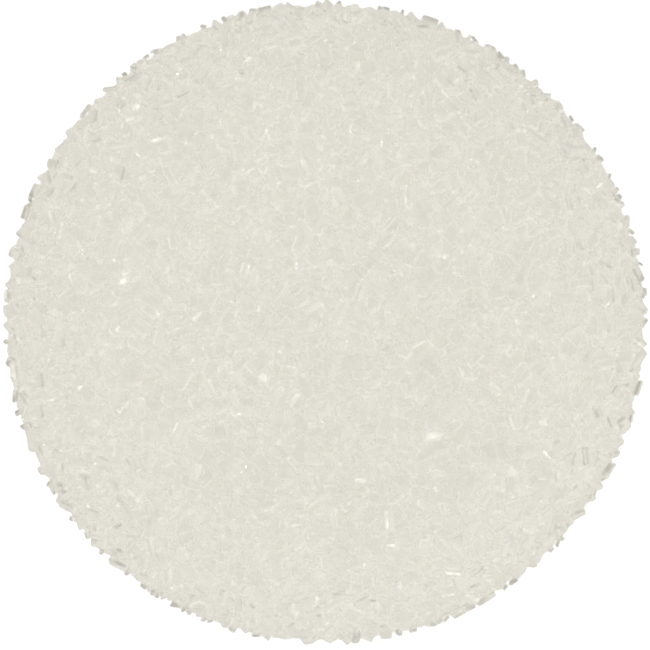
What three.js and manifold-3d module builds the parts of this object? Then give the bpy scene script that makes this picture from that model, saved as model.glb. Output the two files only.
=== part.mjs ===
// A low round heap of coarse white sugar, levelled on top and sloping to the table all round.
// Its surface is relief at the size of one crystal, with whole crystals bedded in it.
// Millimetres, +Z up. The origin is at the middle of the flat underside.

import * as THREE from "three";
import { mergeVertices } from "three/addons/utils/BufferGeometryUtils.js";
import Module from "manifold-3d";

// Driving dimensions of the heap
const HEAP_DIAMETER = 55;
const CROWN_HEIGHT = 7; // of the levelled top, at the middle
const CROWN_FALL = 1.4; // how much lower the top would be if it ran out to the foot
const REPOSE_ANGLE = THREE.MathUtils.degToRad(40); // of the sloping side
const TOE_HEIGHT = 0.9; // of the crystals that lie at the foot, less than one crystal deep
const SHOULDER_ROUNDING = 3.6; // where the top turns into the side
const SWELL_HEIGHT = 0.16; // of the broad unevenness left by levelling
const SWELL_LENGTH = 13;
const SWELL_TURN = [0.4, 0.7]; // how far its two sets of waves are slanted from X and from Y
const SWELL_SHIFT = 1.3; // of the second set
const OUTLINE_WANDER = 0.22; // of the foot, in and out of the round
// The sets of waves of the foot: how many go round it, and where each set starts
const OUTLINE_WAVES = [
  { count: 3, start: 0.8 },
  { count: 7, start: 2.1 },
  { count: 16, start: 0 },
];

// Driving dimensions of the crystals
const CRYSTAL_LENGTH = [1.5, 2.4];
const CRYSTAL_WIDTH = [0.8, 1.3];
const CRYSTAL_THICKNESS = [0.6, 0.95];
const CRYSTAL_LEAN = THREE.MathUtils.degToRad(13); // of its ends' slanting edges: sugar is monoclinic
const CRYSTAL_CUT = 0.3; // share of an edge that a sharp corner loses to a small face
const CRYSTAL_COUNT = 56;
const CRYSTAL_TILT = THREE.MathUtils.degToRad(24); // the most it leans out of the surface
const CRYSTAL_BEDDING = 0.12; // height of its middle over the surface, as a share of its thickness
const CRYSTAL_SHIFT = 0.5; // the most it is off its even place round the heap
const NORMAL_REACH = 0.5; // how far round it the surface's slope is taken from

// Relief of the surface between the whole crystals. Every third point of it is a crystal's upturned corner.
const RELIEF_PITCH = 0.8; // one point to the next, so that corners are 1.4 mm apart
const CORNER_RISE = [0.1, 0.5];
const GAP_DEPTH = [-0.5, -0.05];
const RELIEF_DRIFT = 0.26; // sideways shift of a point, as a share of the pitch
const POINTS_MORE = 6; // in each ring than in the one inside it, which keeps them evenly apart
const CORNER_EVERY = 3;
const FOOT_RELIEF = 0.6; // share of the relief that the foot's edge has

const HEAP_RADIUS = HEAP_DIAMETER / 2;
const GOLDEN_ANGLE = Math.PI * (3 - Math.sqrt(5));
const WELD = 0.02; // points closer than this are one point
const TABLE_DEPTH = 4;
const TABLE_SIDE = 1.5 * HEAP_DIAMETER;
const SEED = 20;

const SUGAR_COLOUR = [0.9, 0.88, 0.83];
const SUGAR_ROUGHNESS = 0.3;

// A repeatable stream of numbers from 0 to 1: a counter whose bits are mixed.
function seededRandom(seed) {
  let state = seed;
  return () => {
    state = (state + 0x6d2b79f5) | 0;
    let t = Math.imul(state ^ (state >>> 15), 1 | state);
    t = (t + Math.imul(t ^ (t >>> 7), 61 | t)) ^ t;
    return ((t ^ (t >>> 14)) >>> 0) / 2 ** 32;
  };
}

const random = seededRandom(SEED);
const between = ([low, high]) => low + (high - low) * random();
const eitherWay = (most) => most * (2 * random() - 1);

// The smaller of a and b, rounded off over the given span.
function smoothLeast(a, b, span) {
  const share = Math.max(0, span - Math.abs(a - b)) / span;
  return Math.min(a, b) - (share * share * span) / 4;
}

// Radius of the foot in one direction: round, with a slow wander.
function footRadius(angle) {
  let wander = 0;
  for (const { count, start } of OUTLINE_WAVES) wander += Math.sin(count * angle + start);
  return HEAP_RADIUS + OUTLINE_WANDER * (wander / OUTLINE_WAVES.length - 1);
}

// Broad unevenness of the levelled top.
function swell(x, y) {
  const wave = (2 * Math.PI) / SWELL_LENGTH;
  const first = Math.sin(wave * (x + SWELL_TURN[0] * y));
  const second = Math.sin(wave * (y - SWELL_TURN[1] * x) + SWELL_SHIFT);
  return SWELL_HEIGHT * (first + second);
}

// Height of the heap without its relief: a gently crowned top that meets a side at the angle of repose.
function heapHeight(x, y) {
  const radius = Math.hypot(x, y);
  const foot = footRadius(Math.atan2(y, x));
  const top = CROWN_HEIGHT - CROWN_FALL * (radius / HEAP_RADIUS) ** 2 + swell(x, y);
  const side = TOE_HEIGHT + Math.tan(REPOSE_ANGLE) * Math.max(0, foot - radius);
  return smoothLeast(top, side, SHOULDER_ROUNDING);
}

// Outward direction of that surface.
function heapNormal(x, y) {
  const riseX = heapHeight(x + NORMAL_REACH, y) - heapHeight(x - NORMAL_REACH, y);
  const riseY = heapHeight(x, y + NORMAL_REACH) - heapHeight(x, y - NORMAL_REACH);
  return new THREE.Vector3(-riseX, -riseY, 2 * NORMAL_REACH).normalize();
}

// How many points a ring of relief has. Ring 0 is the one point in the middle.
function ringPoints(ring) {
  return Math.max(1, POINTS_MORE * ring);
}

// How far round its ring point number i is, from 0 to 1.
function ringShare(i, ring) {
  return ring === 0 ? 1 : i / ringPoints(ring);
}

// The points of one ring of relief.
function reliefRing(ring, rings) {
  const drift = RELIEF_PITCH * RELIEF_DRIFT;
  const onFoot = ring === rings;
  const points = [];
  for (let i = 0; i < ringPoints(ring); i++) {
    const angle = ringShare(i, ring) * 2 * Math.PI;
    const radius = (onFoot ? footRadius(angle) : (HEAP_RADIUS * ring) / rings) + eitherWay(drift);
    const turned = angle + eitherWay(drift) / Math.max(radius, RELIEF_PITCH);
    const [x, y] = [radius * Math.cos(turned), radius * Math.sin(turned)];
    const corner = (ring + (i % Math.max(1, ring))) % CORNER_EVERY === 0;
    const relief = between(corner ? CORNER_RISE : GAP_DEPTH) * (onFoot ? FOOT_RELIEF : 1);
    points.push(new THREE.Vector3(x, y, heapHeight(x, y) + relief));
  }
  return points;
}

// The triangles between one ring of points and the ring inside it, walked round by angle.
function facesBetween(ring, ringStart) {
  const outer = ringPoints(ring);
  const inner = ring === 1 ? 0 : ringPoints(ring - 1);
  const outerPoint = (i) => ringStart[ring] + (i % outer);
  const innerPoint = (i) => ringStart[ring - 1] + (i % Math.max(1, inner));
  const faces = [];
  let [o, n] = [0, 0];
  while (o < outer || n < inner) {
    if (n < inner && (o >= outer || ringShare(n + 1, ring - 1) < ringShare(o + 1, ring))) {
      faces.push([innerPoint(n), outerPoint(o), innerPoint(n + 1)]);
      n++;
    } else {
      faces.push([innerPoint(n), outerPoint(o), outerPoint(o + 1)]);
      o++;
    }
  }
  return faces;
}

// The heap's body: rings of relief, the last of which drops straight to the table, and a flat underside.
function reliefBody() {
  const rings = Math.round(HEAP_RADIUS / RELIEF_PITCH);
  const points = [];
  const faces = [];
  const ringStart = [];
  for (let ring = 0; ring <= rings; ring++) {
    ringStart.push(points.length);
    points.push(...reliefRing(ring, rings));
    if (ring > 0) faces.push(...facesBetween(ring, ringStart));
  }
  const foot = ringStart[rings];
  const under = points.length;
  const footPoints = points.slice(foot);
  points.push(...footPoints.map((p) => new THREE.Vector3(p.x, p.y, 0)));
  const middle = points.length;
  points.push(new THREE.Vector3(0, 0, 0));
  footPoints.forEach((_, i) => {
    const next = (i + 1) % footPoints.length;
    faces.push([foot + i, under + i, under + next]);
    faces.push([foot + i, under + next, foot + next]);
    faces.push([middle, under + next, under + i]);
  });
  return new THREE.BufferGeometry().setFromPoints(points).setIndex(faces.flat());
}

// One crystal: a six-sided monoclinic prism. Its length is along Z, its width along X.
function crystalPrism(length, width, thickness) {
  const lean = (Math.tan(CRYSTAL_LEAN) * thickness) / 2;
  const [w, t, keep] = [width / 2, thickness / 2, 1 - 2 * CRYSTAL_CUT];
  const outline = new THREE.Shape([
    new THREE.Vector2(-w * keep - lean, -t),
    new THREE.Vector2(w - lean, -t),
    new THREE.Vector2(w + lean * keep, t * keep),
    new THREE.Vector2(w * keep + lean, t),
    new THREE.Vector2(-w + lean, t),
    new THREE.Vector2(-w - lean * keep, -t * keep),
  ]);
  const prism = new THREE.ExtrudeGeometry(outline, { depth: length, bevelEnabled: false });
  return prism.translate(0, 0, -length / 2);
}

// Where crystal number i lies: evenly spread over the heap, each turned and tilted its own way.
function crystalPlace(i, thickness) {
  const spread = (i + 0.5) / CRYSTAL_COUNT;
  const radius = (HEAP_RADIUS - CRYSTAL_LENGTH[0] / 2) * Math.sqrt(spread);
  const angle = i * GOLDEN_ANGLE + eitherWay(CRYSTAL_SHIFT / Math.max(radius, CRYSTAL_LENGTH[0]));
  const [x, y] = [radius * Math.cos(angle), radius * Math.sin(angle)];
  const up = heapNormal(x, y);
  const along = new THREE.Vector3(Math.cos(angle), Math.sin(angle), 0)
    .applyAxisAngle(new THREE.Vector3(0, 0, 1), Math.PI / 2 + eitherWay(Math.PI / 2))
    .projectOnPlane(up)
    .normalize();
  const across = new THREE.Vector3().crossVectors(up, along);
  const tilt = new THREE.Euler(eitherWay(CRYSTAL_TILT), 0, eitherWay(CRYSTAL_TILT));
  const middle = heapHeight(x, y) + thickness * CRYSTAL_BEDDING;
  return new THREE.Matrix4()
    .makeBasis(across, up, along)
    .multiply(new THREE.Matrix4().makeRotationFromEuler(tilt))
    .setPosition(x, y, middle);
}

// A closed geometry as a solid that can be joined and cut.
function solidOf(wasm, geometry) {
  geometry.deleteAttribute("normal");
  geometry.deleteAttribute("uv");
  const merged = mergeVertices(geometry);
  return new wasm.Manifold(
    new wasm.Mesh({
      numProp: 3,
      vertProperties: merged.getAttribute("position").array,
      triVerts: new Uint32Array(merged.index.array),
    }),
  );
}

// The slab under the table's surface, which nothing reaches into.
function tableSlab() {
  return new THREE.BoxGeometry(TABLE_SIDE, TABLE_SIDE, TABLE_DEPTH).translate(0, 0, -TABLE_DEPTH / 2);
}

// The heap in one solid: its body and every crystal joined, cut level with the table.
function heapSolid(wasm) {
  let heap = solidOf(wasm, reliefBody());
  for (let i = 0; i < CRYSTAL_COUNT; i++) {
    const size = [between(CRYSTAL_LENGTH), between(CRYSTAL_WIDTH), between(CRYSTAL_THICKNESS)];
    const crystal = crystalPrism(...size).applyMatrix4(crystalPlace(i, size[2]));
    heap = heap.add(solidOf(wasm, crystal));
  }
  heap = heap.subtract(solidOf(wasm, tableSlab())).simplify(WELD);
  // The largest shell is the outside. The others are loose scraps and sealed hollows, which are left out.
  return heap.decompose().sort((a, b) => b.volume() - a.volume())[0];
}

// A solid's faces as flat-shaded three.js geometry, centred over the origin.
function geometryOf(solid) {
  const { numProp, numVert, vertProperties, triVerts } = solid.getMesh();
  const positions = new Float32Array(numVert * 3);
  for (let i = 0; i < numVert; i++) {
    positions.set(vertProperties.subarray(i * numProp, i * numProp + 3), i * 3);
  }
  const geometry = new THREE.BufferGeometry()
    .setAttribute("position", new THREE.BufferAttribute(positions, 3))
    .setIndex(new THREE.BufferAttribute(triVerts, 1));
  geometry.computeBoundingBox();
  const middle = geometry.boundingBox.getCenter(new THREE.Vector3());
  geometry.translate(-middle.x, -middle.y, 0);
  geometry.computeVertexNormals();
  return geometry;
}

const wasm = await Module();
wasm.setup();

const sugar = new THREE.MeshStandardMaterial({
  color: new THREE.Color().setRGB(...SUGAR_COLOUR, THREE.SRGBColorSpace),
  roughness: SUGAR_ROUGHNESS,
  metalness: 0,
  flatShading: true,
});

const heap = new THREE.Mesh(geometryOf(heapSolid(wasm)), sugar);
heap.name = "sugar_heap";

const model = new THREE.Group();
model.add(heap);

export default model;
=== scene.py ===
"""A low round heap of coarse white sugar. Every crystal of its outer layers is a mesh of its own shape,
laid on the ones below it, over a core with crystal relief. Seen from straight above, on a pale table."""

import math

import bpy
import numpy as np
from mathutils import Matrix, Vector


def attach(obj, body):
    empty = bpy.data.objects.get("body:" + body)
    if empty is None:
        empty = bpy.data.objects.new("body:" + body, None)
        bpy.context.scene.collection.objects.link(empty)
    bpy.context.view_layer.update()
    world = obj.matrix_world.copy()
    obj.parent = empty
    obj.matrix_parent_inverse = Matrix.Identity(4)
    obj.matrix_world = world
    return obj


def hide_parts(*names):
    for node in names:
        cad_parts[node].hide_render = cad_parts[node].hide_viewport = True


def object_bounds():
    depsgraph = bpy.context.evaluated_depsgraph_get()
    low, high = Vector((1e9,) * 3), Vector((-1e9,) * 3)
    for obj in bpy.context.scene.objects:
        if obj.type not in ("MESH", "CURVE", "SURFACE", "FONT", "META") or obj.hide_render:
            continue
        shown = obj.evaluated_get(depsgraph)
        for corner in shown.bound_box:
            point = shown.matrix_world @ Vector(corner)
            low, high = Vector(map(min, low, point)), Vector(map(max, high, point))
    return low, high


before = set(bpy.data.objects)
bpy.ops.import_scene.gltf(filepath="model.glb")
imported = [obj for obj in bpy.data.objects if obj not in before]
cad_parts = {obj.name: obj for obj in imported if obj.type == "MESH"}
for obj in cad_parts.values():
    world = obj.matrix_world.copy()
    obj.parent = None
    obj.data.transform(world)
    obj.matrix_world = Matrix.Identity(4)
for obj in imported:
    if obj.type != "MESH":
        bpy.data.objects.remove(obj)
cad_low, cad_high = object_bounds()

# Sizes on the heap are in millimetres, and its meshes are written in metres
MM = 0.001

# The heap, from the frame's box and the same figures as the solid it stands for
HEAP_RADIUS = (cad_high.x - cad_low.x) / 2 / MM
CROWN_HEIGHT = 7.0
CROWN_FALL = 1.4
REPOSE_SLOPE = math.tan(math.radians(40))
TOE_HEIGHT = 0.9
SHOULDER_ROUNDING = 3.6
SWELL_HEIGHT = 0.16
SWELL_LENGTH = 13.0
SWELL_TURN = (0.4, 0.7)
SWELL_SHIFT = 1.3

# The core under the loose layers. Its outline's waves are how many go round it, and their start
LAYER_DEPTH = 1.5
CORE_INSET = 0.42
CORE_WANDER = 0.16
CORE_WAVES = ((61, 0.4), (97, 2.2), (143, 4.1))
CORE_RIM_HEIGHT = 0.42
CORE_LEAST = 0.05
CORE_RINGS, CORE_SPOKES = 150, 620
# By this little its mesh stays inside the outline, so that no point is past it by rounding
HAIR = 1e-6

# The core's relief of flat facets, each about as wide as a crystal
FACET_PITCH = 0.95
FACETS_SPARE = 4
FACET_SHIFT = 0.45
FACET_RISE = 0.35
FACET_LEAN = 0.45
FACET_SEED = 3

# The crystals' kinds: length, width as a share of length, thickness as a share of width
KINDS = {
    "blocky_crystals": ((1.0, 1.65), (0.55, 0.85), (0.6, 0.9)),
    "long_crystals": ((1.4, 2.2), (0.36, 0.55), (0.65, 0.95)),
    "flat_crystals": ((1.1, 1.8), (0.55, 0.82), (0.36, 0.55)),
    "small_crystals": ((0.5, 0.9), (0.5, 0.9), (0.5, 0.85)),
}
LEAN = math.tan(math.radians(13))
CORNER_CUT = (0.12, 0.38)
END_SLANT = 0.22
END_SLANT_MOST = 0.5
WEAR = 0.08
ON_SIDE = 0.2
ASKEW = 0.2

# How they are laid, in two rains: shares of the kinds, passes, spacing, and how far one may stand proud
LAYING_SEED = 7
RAINS = (
    ({"blocky_crystals": 0.5, "long_crystals": 0.25, "flat_crystals": 0.25}, 6, 0.6, 0.36),
    ({"small_crystals": 1.0}, 1, 0.5, 0.1),
)
PROUD_LEAST = 0.4
ROOM_LEAST = 0.3
CELL = 0.08
BED_MARGIN = 1.0
SLOPE_STEP = 0.45
SLOPE_MOST = 0.9
SINK = 0.06
SAFE_REACH = 1.15
RIM_BAND = 0.9
RIM_PLAY = (0.02, 0.1)
LEVEL_FACE = 1e-3

# The sugar. Patches and waves are so many in a millimetre
SUGAR_IOR = 1.54
SUGAR_WARM = (0.985, 0.979, 0.962, 1)
SUGAR_COOL = (0.985, 0.982, 0.972, 1)
GLOSS = 0.03
GLOSS_SPREAD = 0.16
GLOSS_PATCHES = 0.9
FACE_UNEVENNESS = 0.02
FACE_WAVES = 1.8
MILK_LEAST = 0.35
MILK_SPREAD = 0.2
MILK_ROUGHNESS = 0.14
CLOUD = 0.2
CLOUD_PATCHES = 1.6
CORE_ROUGHNESS = 0.5
CORE_PATCHES = 0.8

# The colour Mix node's own sockets for its two colours, which share their names with others
MIX_FIRST, MIX_SECOND = 6, 7

# The table, in metres
TABLE_SIDE = 6.0
TABLE_COLOUR = (0.36, 0.35, 0.32, 1)
TABLE_ROUGHNESS = 0.9
TABLE_GLOW = 1.3
WHITE = (1, 1, 1, 1)

# The light, in metres, watts and degrees. The lamps' groups have a name, a number of lamps, the
# direction of their middle with their spread, the lowest and highest rise, and the power of a lamp
ROOM_TINT = (1, 0.979, 0.905, 1)
ROOM_LEVEL = 0.612
BAND_LEVEL = 1.06
BAND_FOOT = 0.2
BAND_TOP = 0.5
ROOM_LEAN = (0.05, -0.12, 0.04)
LAMP_GROUPS = (
    ("overhead_lamp", 1, (45, 0), (82, 82), 0.014),
    ("upper_left_lamp", 7, (149, 130), (6, 34), 0.017),
    ("lower_right_lamp", 4, (-27, 120), (9, 37), 0.017),
)
LAMP_STAGGER = 0.618
LAMP_DISTANCE = 0.3
LAMP_SIZE = 0.02

# How far light is followed, and how soft the picture is
BOUNCES = 24
OPEN_BOUNCES = 3
OPEN_REACH = 1e-5
GLINT_MOST = 1.5
PIXEL_SOFTNESS = 2.5

# The camera: the photo's circle, which the heap's uneven outline keeps to on average
FRAME_PIXELS = 650
PHOTO_CENTRE = (325.2, 322.8)
PHOTO_RADIUS = 320.2
OUTLINE_SHARE = 0.993
LENS = 100.0
SENSOR = 36.0
CLIP = (0.01, 10)

rng = np.random.default_rng(LAYING_SEED)


def smooth_least(a, b, span):
    """The smaller of a and b, rounded off where they are within span of each other."""
    share = np.maximum(0, span - np.abs(a - b)) / span
    return np.minimum(a, b) - share * share * span / 4


def heap_height(x, y):
    """The heap's height over the table: a gently crowned top with broad swells, which meets a side
    at the angle of repose. The smaller of the two holds, rounded off at the shoulder."""
    radius = np.hypot(x, y)
    wave = 2 * math.pi / SWELL_LENGTH
    first = np.sin(wave * (x + SWELL_TURN[0] * y))
    second = np.sin(wave * (y - SWELL_TURN[1] * x) + SWELL_SHIFT)
    top = CROWN_HEIGHT - CROWN_FALL * (radius / HEAP_RADIUS) ** 2 + SWELL_HEIGHT * (first + second)
    side = TOE_HEIGHT + REPOSE_SLOPE * np.maximum(0, HEAP_RADIUS - radius)
    return smooth_least(top, side, SHOULDER_ROUNDING)


def facets(x, y):
    """Relief of packed crystals: the nearest of a jittered grid of middles gives each point its own
    flat facet, tilted and raised at random."""
    draw = np.random.default_rng(FACET_SEED)
    half = int((HEAP_RADIUS + FACETS_SPARE) / FACET_PITCH) + FACETS_SPARE
    shift = draw.uniform(-FACET_SHIFT, FACET_SHIFT, (2 * half, 2 * half, 2))
    rise = draw.uniform(-FACET_RISE, FACET_RISE, (2 * half, 2 * half))
    lean = draw.normal(0, FACET_LEAN, (2 * half, 2 * half, 2))
    column, row = np.floor(x / FACET_PITCH).astype(int), np.floor(y / FACET_PITCH).astype(int)
    nearest = np.full(x.shape, np.inf)
    relief = np.zeros(x.shape)
    for step_x in (-1, 0, 1):
        for step_y in (-1, 0, 1):
            i, j = column + step_x + half, row + step_y + half
            dx = x - (column + step_x + 0.5 + shift[i, j, 0]) * FACET_PITCH
            dy = y - (row + step_y + 0.5 + shift[i, j, 1]) * FACET_PITCH
            far = np.hypot(dx, dy)
            closer = far < nearest
            nearest = np.where(closer, far, nearest)
            relief = np.where(closer, rise[i, j] + lean[i, j, 0] * dx + lean[i, j, 1] * dy, relief)
    return relief


def core_rim(angle):
    """The core's outline: a little inside the heap's, and as uneven as packed crystals."""
    wave = sum(np.sin(count * angle + start) for count, start in CORE_WAVES) / len(CORE_WAVES)
    return HEAP_RADIUS - CORE_INSET + CORE_WANDER * wave


def core_height(x, y):
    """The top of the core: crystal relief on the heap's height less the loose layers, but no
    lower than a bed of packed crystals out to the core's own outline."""
    radius, angle = np.hypot(x, y), np.arctan2(y, x)
    packed = np.maximum(heap_height(x, y) - LAYER_DEPTH, CORE_RIM_HEIGHT) + facets(x, y)
    return np.where(radius > core_rim(angle), 0, packed)


def section(width, thickness, cut):
    """The six corners of a crystal's cross-section, anticlockwise: a leaning oblong with its two
    sharp corners cut off. Arrays of sizes give an array of sections."""
    w, t = width / 2, thickness / 2
    lean, keep = LEAN * t, 1 - 2 * cut
    corners = [
        (-w * keep - lean, -t),
        (w - lean, -t),
        (w + lean * keep, t * keep),
        (w * keep + lean, t),
        (-w + lean, t),
        (-w - lean * keep, -t * keep),
    ]
    return np.stack([np.stack(np.broadcast_arrays(*c), -1) for c in corners], -2)


class Crystal:
    """A sugar crystal of one kind and of random size: a leaning six-sided prism with slanting ends.
    Across, up and along are its own axes, and its place is where its middle lies."""

    def __init__(self, kind):
        length, width, thickness = (rng.uniform(*span) for span in KINDS[kind])
        width *= length
        thickness *= width
        self.size = (length, width, thickness)
        self.cut = rng.uniform(*CORNER_CUT)
        self.ends = rng.normal(0, END_SLANT, (2, 2)).clip(-END_SLANT_MOST, END_SLANT_MOST)

    def lie(self, slope):
        """Lies down on a slope, turned any way. Some are on their sides, and all are a little askew."""
        side = rng.random() < ON_SIDE
        roll = rng.normal(0, ASKEW) + (math.pi / 2 if side else 0)
        yaw = rng.uniform(0, 2 * math.pi)
        tilt = rng.normal(0, ASKEW)
        up = np.array([-slope[0], -slope[1], 1.0])
        up /= np.linalg.norm(up)
        along = np.array([math.cos(yaw), math.sin(yaw), 0.0])
        along -= up * (along @ up)
        along /= np.linalg.norm(along)
        base = np.stack([np.cross(up, along), up, along], -1)
        cr, sr, ct, st = math.cos(roll), math.sin(roll), math.cos(tilt), math.sin(tilt)
        rolled = np.array([[cr, -sr, 0], [sr, cr, 0], [0, 0, 1]])
        tilted = np.array([[1, 0, 0], [0, ct, -st], [0, st, ct]])
        self.axes = base @ tilted @ rolled

    def sides(self):
        """Its eight flat sides, as outward directions and distances from its middle."""
        corners = section(self.size[1], self.size[2], self.cut)
        edges = np.roll(corners, -1, axis=0) - corners
        out = np.stack([edges[:, 1], -edges[:, 0]], -1)
        near, far = self.ends
        caps = np.array([[near[0], near[1], -1.0], [-far[0], -far[1], 1.0]])
        half = self.size[0] / 2
        ways = np.r_[np.c_[out, np.zeros(len(out))], caps] @ self.axes.T
        return ways, np.r_[(out * corners).sum(-1), half, half]

    def reach(self, way):
        """How far it reaches from its middle in a direction: the furthest of its twelve corners."""
        flat = section(self.size[1], self.size[2], self.cut)
        half = self.size[0] / 2
        near = np.c_[flat, flat @ self.ends[0] - half]
        far = np.c_[flat, flat @ self.ends[1] + half]
        return (np.r_[near, far] @ self.axes.T @ way).max()


class Bed:
    """What falling crystals come to rest on: the height of the pile so far, on a square grid."""

    def __init__(self):
        self.reach = HEAP_RADIUS + BED_MARGIN
        count = int(2 * self.reach / CELL) + 1
        self.at = np.arange(count) * CELL - self.reach
        x, y = np.meshgrid(self.at, self.at, indexing="ij")
        self.wanted = np.where(np.hypot(x, y) > HEAP_RADIUS, 0, heap_height(x, y))
        self.height = core_height(x, y)

    def cell(self, value):
        """The grid's row or column nearest to a coordinate."""
        return int(round((value + self.reach) / CELL))

    def slope(self, x, y):
        """How steeply the pile rises along X and Y around a point."""
        i, j, k = self.cell(x), self.cell(y), int(SLOPE_STEP / CELL)
        h = self.height
        run = 2 * k * CELL
        return (h[i + k, j] - h[i - k, j]) / run, (h[i, j + k] - h[i, j - k]) / run

    def drop(self, crystal, x, y, overshoot):
        """Drops a crystal at x, y until it rests on the pile or the table. It stays there, and this is
        true, unless it would stick out of the heap."""
        out, away = crystal.sides()
        reach = 0.5 * math.hypot(*crystal.size) * SAFE_REACH
        i0, i1 = self.cell(x - reach), self.cell(x + reach)
        j0, j1 = self.cell(y - reach), self.cell(y + reach)
        if i0 < 0 or j0 < 0 or i1 >= len(self.at) or j1 >= len(self.at):
            return False
        window = (slice(i0, i1 + 1), slice(j0, j1 + 1))
        grid_x, grid_y = self.at[i0 : i1 + 1, None], self.at[None, j0 : j1 + 1]
        out_x, out_y = out[:, 0, None, None], out[:, 1, None, None]
        room = away[:, None, None] - out_x * (grid_x - x) - out_y * (grid_y - y)
        rise = out[:, 2]
        over, below = rise > LEVEL_FACE, rise < -LEVEL_FACE
        # Its upper and lower side over each cell, as heights from its middle
        top = (room[over] / rise[over, None, None]).min(0)
        bottom = (room[below] / rise[below, None, None]).max(0)
        inside = top > bottom
        if not inside.any() or np.hypot(grid_x, grid_y)[inside].max() > HEAP_RADIUS:
            return False
        gaps = (self.height[window] - bottom)[inside]
        z = max(np.quantile(gaps, 1 - SINK), crystal.reach(np.array([0, 0, -1])))
        proud = (z + top - self.wanted[window])[inside].max()
        if proud > overshoot * (PROUD_LEAST + rng.random()):
            return False
        self.height[window] = np.where(inside, np.maximum(self.height[window], z + top), self.height[window])
        crystal.place = (x, y, z)
        return True


def rain(bed, shares, passes, spacing, overshoot):
    """Crystals fall all over the heap, pass after pass, and stay where their tops keep near the wanted
    height. Those at the rim are pushed out to touch the heap's circle. Returns them by kind."""
    found = {kind: [] for kind in shares}
    count = int(2 * HEAP_RADIUS / spacing)
    line = (np.arange(count) + 0.5) * spacing - HEAP_RADIUS
    gx, gy = (g.ravel() for g in np.meshgrid(line, line))
    places = np.c_[gx, gy][np.hypot(gx, gy) < HEAP_RADIUS]
    for _ in range(passes):
        jittered = places + rng.uniform(-spacing / 2, spacing / 2, places.shape)
        for x, y in jittered[rng.permutation(len(jittered))]:
            kind = rng.choice(list(shares), p=list(shares.values()))
            crystal = Crystal(kind)
            i, j = bed.cell(x), bed.cell(y)
            if bed.wanted[i, j] - bed.height[i, j] < ROOM_LEAST * crystal.size[2]:
                continue
            crystal.lie(np.clip(bed.slope(x, y), -SLOPE_MOST, SLOPE_MOST))
            radius = math.hypot(x, y)
            if radius > HEAP_RADIUS - RIM_BAND:
                way = np.array([x / radius, y / radius, 0])
                held = HEAP_RADIUS - crystal.reach(way) - rng.uniform(*RIM_PLAY)
                x, y = x * held / radius, y * held / radius
            if bed.drop(crystal, x, y, overshoot):
                found[kind].append(crystal)
    return found


def mesh_piece(name, points, faces):
    """A mesh object from points in millimetres and a list of faces."""
    mesh = bpy.data.meshes.new(name)
    mesh.from_pydata(np.asarray(points) * MM, [], faces)
    mesh.update()
    piece = bpy.data.objects.new(name, mesh)
    bpy.context.scene.collection.objects.link(piece)
    return piece


def worn_corners(ring):
    """A section's corners cut back by WEAR to both sides: twelve corners from six."""
    back = np.roll(ring, 1, axis=1) - ring
    on = np.roll(ring, -1, axis=1) - ring
    back /= np.linalg.norm(back, axis=-1, keepdims=True)
    on /= np.linalg.norm(on, axis=-1, keepdims=True)
    return np.stack([ring + WEAR * back, ring + WEAR * on], 2).reshape(len(ring), -1, 2)


def crystal_mesh(name, crystals, worn):
    """One mesh of many crystals. Each is its section carried along its length and closed by strips of
    quads. Worn ones have their corners cut back, and two more stations for ends that are drawn in."""
    size = np.array([c.size for c in crystals])
    cut = np.array([c.cut for c in crystals])
    ends = np.array([c.ends for c in crystals])
    axes = np.array([c.axes for c in crystals])
    place = np.array([c.place for c in crystals])
    ring = section(size[:, 1], size[:, 2], cut)
    half, whole = size[:, 0] / 2, np.ones(len(crystals))
    stations = [(-half, whole, 0), (half, whole, 1)]
    if worn:
        ring = worn_corners(ring)
        drawn = 1 - 2 * WEAR / size[:, 1]
        stations = [(-half, drawn, 0), (-half + WEAR, whole, 0), (half - WEAR, whole, 1), (half, drawn, 1)]
    rows = []
    for z, scale, end in stations:
        flat = ring * scale[:, None, None]
        along = z[:, None] + (flat * ends[:, end, None, :]).sum(-1)
        rows.append(np.concatenate([flat, along[..., None]], -1))
    points = np.einsum("nij,nrsj->nrsi", axes, np.stack(rows, 1)) + place[:, None, None, :]
    sides = ring.shape[1]
    s = np.arange(sides)
    quads = []
    for row in range(len(stations) - 1):
        a, b = row * sides, (row + 1) * sides
        quads.append(np.stack([a + s, a + (s + 1) % sides, b + (s + 1) % sides, b + s], -1))
    k = np.arange(sides // 2 - 1)
    strip = np.stack([k, k + 1, sides - 2 - k, sides - 1 - k], -1)
    quads = np.concatenate([*quads, strip[:, ::-1], strip + (len(stations) - 1) * sides])
    each = len(stations) * sides
    faces = (quads[None] + (np.arange(len(crystals)) * each)[:, None, None]).reshape(-1, 4)
    piece = mesh_piece(name, points.reshape(-1, 3), faces.tolist())
    for attribute in ("tone", "milkiness"):
        values = np.repeat(rng.random(len(crystals)), each).astype(np.float32)
        piece.data.attributes.new(attribute, "FLOAT", "POINT").data.foreach_set("value", values)
    return piece


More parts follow.
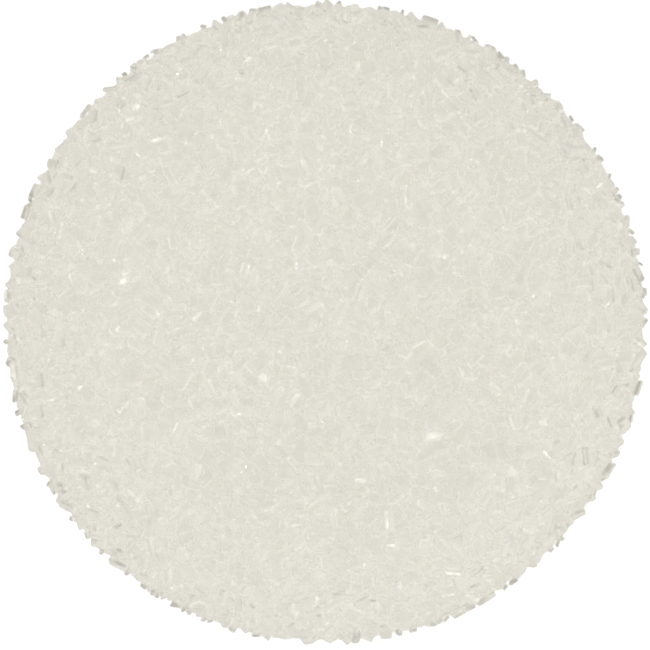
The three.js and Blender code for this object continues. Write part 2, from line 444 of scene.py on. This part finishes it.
def core_piece():
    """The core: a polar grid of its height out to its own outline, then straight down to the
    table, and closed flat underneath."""
    angle = np.linspace(0, 2 * math.pi, CORE_SPOKES, endpoint=False)
    share = np.linspace(0, 1, CORE_RINGS)[1:, None]
    radius = (core_rim(angle) - HAIR) * share
    x, y = radius * np.cos(angle), radius * np.sin(angle)
    top = np.stack([x, y, np.maximum(core_height(x, y), CORE_LEAST)], -1).reshape(-1, 3)
    foot = np.stack([x[-1], y[-1], np.zeros(CORE_SPOKES)], -1)
    middle = np.zeros(1)
    crown = [[0, 0, float(core_height(middle, middle)[0])]]
    points = np.concatenate([top, foot, crown, [[0, 0, 0]]])
    s = np.arange(CORE_SPOKES)
    on = (s + 1) % CORE_SPOKES
    row = np.arange(CORE_RINGS - 1)[:, None] * CORE_SPOKES
    around = np.stack([row + s, row + CORE_SPOKES + s, row + CORE_SPOKES + on, row + on], -1).reshape(-1, 4)
    crown_at, under_at, last = len(points) - 2, len(points) - 1, (CORE_RINGS - 1) * CORE_SPOKES
    over = np.stack([np.full(CORE_SPOKES, crown_at), s, on], -1)
    under = np.stack([np.full(CORE_SPOKES, under_at), last + on, last + s], -1)
    return mesh_piece("packed_core", points, around.tolist() + over.tolist() + under.tolist())


class Value:
    """A number that changes over a surface: an operator on it adds the Math node that works it out."""

    def __init__(self, shader, socket):
        self.shader, self.socket = shader, socket

    def math(self, operation, first, second):
        """The Math node of an operation on two values or numbers."""
        return self.shader.node("ShaderNodeMath", {"operation": operation}, {0: first, 1: second})["Value"]

    def __add__(self, other):
        return self.math("ADD", self, other)

    __radd__ = __add__

    def __sub__(self, other):
        return self.math("SUBTRACT", self, other)

    def __rsub__(self, other):
        return self.math("SUBTRACT", other, self)

    def __mul__(self, other):
        return self.math("MULTIPLY", self, other)

    __rmul__ = __mul__


class Shader:
    """The nodes of a material or of the world, with its surface still to be given."""

    def __init__(self, owner):
        self.owner = owner
        owner.use_nodes = True
        self.tree = owner.node_tree
        self.tree.nodes.clear()

    def node(self, kind, settings, sockets):
        """Adds a node of a kind, makes its settings, then gives its sockets their values or links."""
        node = self.tree.nodes.new(kind)
        for name, value in settings.items():
            setattr(node, name, value)
        for name, value in sockets.items():
            if isinstance(value, Value):
                self.tree.links.new(value.socket, node.inputs[name])
            else:
                node.inputs[name].default_value = value
        return {output.name: Value(self, output) for output in node.outputs if output.enabled}

    def noise(self, per_mm):
        """Cloudy noise from 0 to 1 in the object's own space, with a number of cells in a millimetre."""
        place = self.node("ShaderNodeTexCoord", {}, {})["Object"]
        return self.node("ShaderNodeTexNoise", {}, {"Vector": place, "Scale": per_mm / MM})["Fac"]

    def blend(self, factor, first, second):
        """Colour that goes from first to second as the factor goes from 0 to 1."""
        sockets = {"Factor": factor, MIX_FIRST: first, MIX_SECOND: second}
        return self.node("ShaderNodeMix", {"data_type": "RGBA"}, sockets)["Result"]

    def close(self, surface, output="ShaderNodeOutputMaterial"):
        """Links the surface to the output, and returns the material or world."""
        self.node(output, {}, {"Surface": surface})
        return self.owner


def crystal_material():
    """Clear crystals with some milk in them and faces that are a little uneven. From outside, a share of
    the light is scattered at the skin, more of it in the milky crystals. From inside, the skin is clear."""
    s = Shader(bpy.data.materials.new("clear and milky sugar"))
    milkiness = s.node("ShaderNodeAttribute", {"attribute_name": "milkiness"}, {})["Fac"]
    tone = s.node("ShaderNodeAttribute", {"attribute_name": "tone"}, {})["Fac"]
    inside = s.node("ShaderNodeNewGeometry", {}, {})["Backfacing"]
    colour = s.blend(tone, SUGAR_WARM, SUGAR_COOL)
    uneven = s.node("ShaderNodeBump", {}, {
        "Height": s.noise(FACE_WAVES), "Distance": FACE_UNEVENNESS * MM, "Strength": 1.0,
    })["Normal"]
    clear = s.node("ShaderNodeBsdfPrincipled", {}, {
        "Base Color": colour, "Roughness": GLOSS + GLOSS_SPREAD * s.noise(GLOSS_PATCHES), "IOR": SUGAR_IOR,
        "Transmission Weight": 1.0, "Normal": uneven,
    })["BSDF"]
    milky = s.node("ShaderNodeBsdfPrincipled", {}, {
        "Base Color": colour, "Roughness": MILK_ROUGHNESS, "IOR": SUGAR_IOR, "Normal": uneven,
    })["BSDF"]
    cloud = CLOUD * (s.noise(CLOUD_PATCHES) - 0.5)
    milk = (MILK_LEAST + MILK_SPREAD * milkiness + cloud) * (1 - inside)
    return s.close(s.node("ShaderNodeMixShader", {}, {0: milk, 1: clear, 2: milky})["Shader"])


def core_material():
    """Packed crystals, seen only through the clear ones on top."""
    s = Shader(bpy.data.materials.new("packed sugar"))
    colour = s.blend(s.noise(CORE_PATCHES), SUGAR_WARM, SUGAR_COOL)
    return s.close(s.node("ShaderNodeBsdfPrincipled", {}, {
        "Base Color": colour, "Roughness": CORE_ROUGHNESS, "IOR": SUGAR_IOR,
    })["BSDF"])


def make_heap():
    """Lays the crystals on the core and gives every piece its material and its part."""
    bed = Bed()
    found = {}
    for shares, passes, spacing, overshoot in RAINS:
        found.update(rain(bed, shares, passes, spacing, overshoot))
    pieces = [crystal_mesh(kind, found[kind], kind != "small_crystals") for kind in KINDS]
    sugar = crystal_material()
    for piece in pieces:
        piece.data.materials.append(sugar)
    core = core_piece()
    core.data.materials.append(core_material())
    for piece in [*pieces, core]:
        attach(piece, "root")
    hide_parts("sugar_heap")


def make_table():
    """A pale table. Seen directly it glows up to the backdrop's full white, which doesn't light the heap."""
    s = Shader(bpy.data.materials.new("pale table"))
    seen = s.node("ShaderNodeLightPath", {}, {})["Is Camera Ray"]
    matt = s.node("ShaderNodeBsdfPrincipled", {}, {
        "Base Color": TABLE_COLOUR, "Roughness": TABLE_ROUGHNESS,
    })["BSDF"]
    glow = s.node("ShaderNodeEmission", {}, {"Color": WHITE, "Strength": TABLE_GLOW})["Emission"]
    surface = s.node("ShaderNodeMixShader", {}, {0: seen, 1: matt, 2: glow})["Shader"]
    half = TABLE_SIDE / MM / 2
    corners = [(-half, -half, 0), (half, -half, 0), (half, half, 0), (-half, half, 0)]
    table = mesh_piece("table", corners, [(0, 1, 2, 3)])
    table.data.materials.append(s.close(surface))


def make_room():
    """Nearly even light from all round, with a brighter band above the horizon, which the crystals'
    edges catch. It is a little stronger from the side that ROOM_LEAN points to."""
    world = bpy.data.worlds.new("studio")
    s = Shader(world)
    way = s.node("ShaderNodeTexCoord", {}, {})["Generated"]
    rise = s.node("ShaderNodeSeparateXYZ", {}, {"Vector": way})["Z"]
    level = s.node("ShaderNodeMapRange", {"interpolation_type": "SMOOTHSTEP"}, {
        "Value": rise, "From Min": BAND_FOOT, "From Max": BAND_TOP,
        "To Min": BAND_LEVEL, "To Max": ROOM_LEVEL,
    })["Result"]
    lean = s.node("ShaderNodeVectorMath", {"operation": "DOT_PRODUCT"}, {0: way, 1: ROOM_LEAN})["Value"]
    light = s.node("ShaderNodeBackground", {}, {"Color": ROOM_TINT, "Strength": level + lean})["Background"]
    bpy.context.scene.world = s.close(light, "ShaderNodeOutputWorld")
    world.light_settings.distance = OPEN_REACH


def make_lamps():
    """Small lamps for the glitter: one nearly overhead, the others low, most of them at the upper left.
    In a group they stand side by side and are staggered in height."""
    for name, count, around, upward, power in LAMP_GROUPS:
        middle, spread, lowest, highest = map(math.radians, (*around, *upward))
        for k in range(count):
            turn = middle + ((k + 0.5) / count - 0.5) * spread
            rise = lowest + (highest - lowest) * (k * LAMP_STAGGER % 1)
            way = Vector((math.cos(rise) * math.cos(turn), math.cos(rise) * math.sin(turn), math.sin(rise)))
            data = bpy.data.lights.new(f"{name}_{k + 1}", "AREA")
            data.energy, data.size, data.color = power, LAMP_SIZE, ROOM_TINT[:3]
            lamp = bpy.data.objects.new(data.name, data)
            lamp.location = LAMP_DISTANCE * way
            lamp.rotation_euler = (-way).to_track_quat("-Z", "Y").to_euler()
            lamp.visible_camera = False
            bpy.context.scene.collection.objects.link(lamp)


def set_light_paths():
    """Lets light bounce on among the crystals. After a few bounces it is taken from the room."""
    scene = bpy.context.scene
    scene.view_settings.view_transform = "Standard"
    cycles = scene.cycles
    cycles.use_fast_gi, cycles.ao_bounces_render, cycles.blur_glossy = True, OPEN_BOUNCES, 0
    cycles.sample_clamp_indirect, cycles.filter_width = GLINT_MOST, PIXEL_SOFTNESS
    cycles.max_bounces = cycles.diffuse_bounces = BOUNCES
    cycles.glossy_bounces = cycles.transmission_bounces = BOUNCES


def make_camera():
    """Straight above, as far away as gives the heap the photo's width, and shifted by the photo's centre."""
    data = bpy.data.cameras.new("camera")
    data.lens, data.sensor_width = LENS, SENSOR
    data.clip_start, data.clip_end = CLIP
    half = FRAME_PIXELS / 2
    pixel = HEAP_RADIUS * OUTLINE_SHARE * MM / PHOTO_RADIUS
    distance = half * pixel * LENS / (SENSOR / 2)
    camera = bpy.data.objects.new("camera", data)
    camera.location = ((half - PHOTO_CENTRE[0]) * pixel, (PHOTO_CENTRE[1] - half) * pixel, distance)
    bpy.context.scene.collection.objects.link(camera)
    bpy.context.scene.camera = camera


make_heap()
make_table()
make_room()
make_lamps()
set_light_paths()
make_camera()
